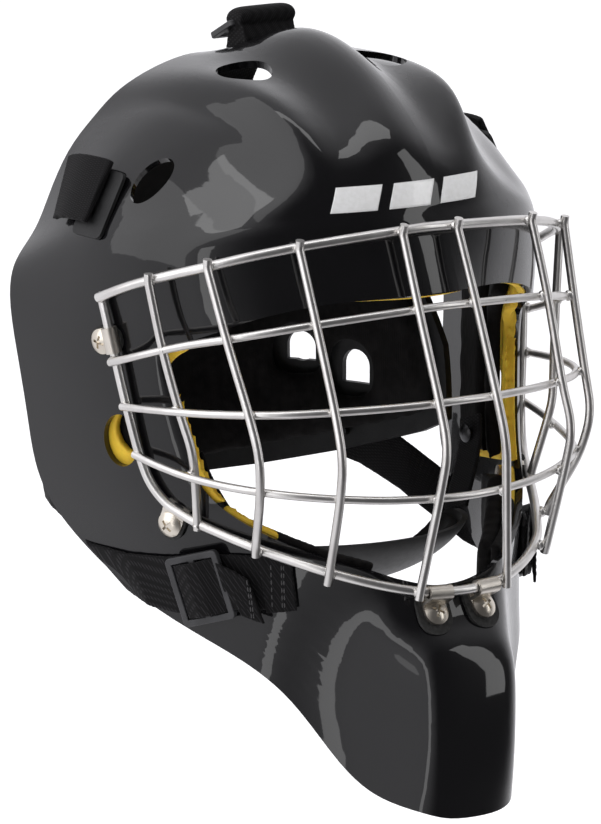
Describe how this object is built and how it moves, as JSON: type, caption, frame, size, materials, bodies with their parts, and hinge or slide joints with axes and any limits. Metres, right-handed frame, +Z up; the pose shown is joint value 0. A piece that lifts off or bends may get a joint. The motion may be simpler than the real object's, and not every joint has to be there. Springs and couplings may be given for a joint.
{
  "type": "goalie mask",
  "caption": "Ice-hockey goalie mask: gloss black shell with a steel wire cage, foam lining, strapped back plate and a chin cup in a sling.",
  "frame": {"origin": "centre of the wearer's head, where the head holds the mask", "axes": "+Z up, the face looks along -Y, +X is the wearer's left"},
  "size_m": [0.2304, 0.2722, 0.3266],
  "materials": {
    "shell_black": "polished, clear lacquer over black",
    "wire_steel": "polished stainless wire",
    "clip_steel": "stamped stainless sheet",
    "screw_steel": "nickel plate",
    "rubber_black": "cut sheet rubber",
    "foam_yellow": "smooth closed-cell foam",
    "foam_black": "brushed fabric over foam",
    "elastic_black": "woven elastic",
    "patch_black": "stitched webbing",
    "buckle_plastic": "moulded plastic",
    "buckle_metal": "dark coated steel",
    "plate_black": "moulded plastic, fine texture",
    "cup_black": "moulded plastic, satin"
  },
  "bodies": {
    "shell": {"brow_foam": "foam_yellow", "cage_clips": "clip_steel", "cage_lower_wire": "wire_steel", "cage_middle_wire": "wire_steel", "cage_rim_wire": "wire_steel", "cage_top_wire": "wire_steel", "cage_upper_wire": "wire_steel", "cage_uprights": "wire_steel", "chin_pad": "foam_black", "clip_nuts": "screw_steel", "clip_rubbers": "rubber_black", "clip_screws": "screw_steel", "crown_buckle": "buckle_metal", "crown_pad": "foam_black", "crown_strap": "elastic_black", "jaw_foam_left": "foam_yellow", "jaw_foam_right": "foam_yellow", "jaw_pad_left": "foam_black", "jaw_pad_right": "foam_black", "jaw_patch_left": "patch_black", "jaw_patch_right": "patch_black", "jaw_strap_left": "elastic_black", "jaw_strap_right": "elastic_black", "rear_pad_left": "foam_black", "rear_pad_right": "foam_black", "shell": "shell_black", "side_foam_left": "foam_yellow", "side_foam_right": "foam_yellow", "side_pad_left": "foam_black", "side_pad_right": "foam_black", "sling_snaps": "screw_steel", "sweatband": "foam_black", "upper_anchor_left": "buckle_plastic", "upper_anchor_right": "buckle_plastic", "upper_strap_inside_left": "elastic_black", "upper_strap_inside_right": "elastic_black", "upper_strap_left": "elastic_black", "upper_strap_right": "elastic_black"},
    "backplate": {"backplate": "plate_black", "backplate_pad": "foam_black", "backplate_rivets": "screw_steel", "jaw_strap_rear_left": "elastic_black", "jaw_strap_rear_right": "elastic_black", "upper_strap_rear_left": "elastic_black", "upper_strap_rear_right": "elastic_black", "crown_strap_rear": "elastic_black"},
    "buckle_left": {"jaw_buckle_left": "buckle_plastic", "jaw_strap_loop_left": "elastic_black", "jaw_strap_tail_left": "elastic_black"},
    "buckle_right": {"jaw_buckle_right": "buckle_plastic", "jaw_strap_loop_right": "elastic_black", "jaw_strap_tail_right": "elastic_black"},
    "chin_cup": {"chin_cup": "cup_black", "chin_cup_lining": "foam_black", "chin_sling_left": "elastic_black", "chin_sling_right": "elastic_black"}
  },
  "joints": [
    {"name": "backplate_swing", "type": "hinge", "parent": "shell", "child": "backplate", "pos_m": [0, 0.0296, 0.1162], "axis": [1, 0, 0], "range_deg": [0, 25]},
    {"name": "buckle_left_slide", "type": "slide", "parent": "shell", "child": "buckle_left", "axis": [0.1899, 0.9495, -0.2499], "range_m": [-0.005, 0.005]},
    {"name": "buckle_right_slide", "type": "slide", "parent": "shell", "child": "buckle_right", "axis": [-0.1899, 0.9495, -0.2499], "range_m": [-0.005, 0.005]},
    {"name": "chin_cup_swing", "type": "hinge", "parent": "shell", "child": "chin_cup", "pos_m": [0, -0.042, -0.045], "axis": [1, 0, 0], "range_deg": [-10, 15]}
  ]
}
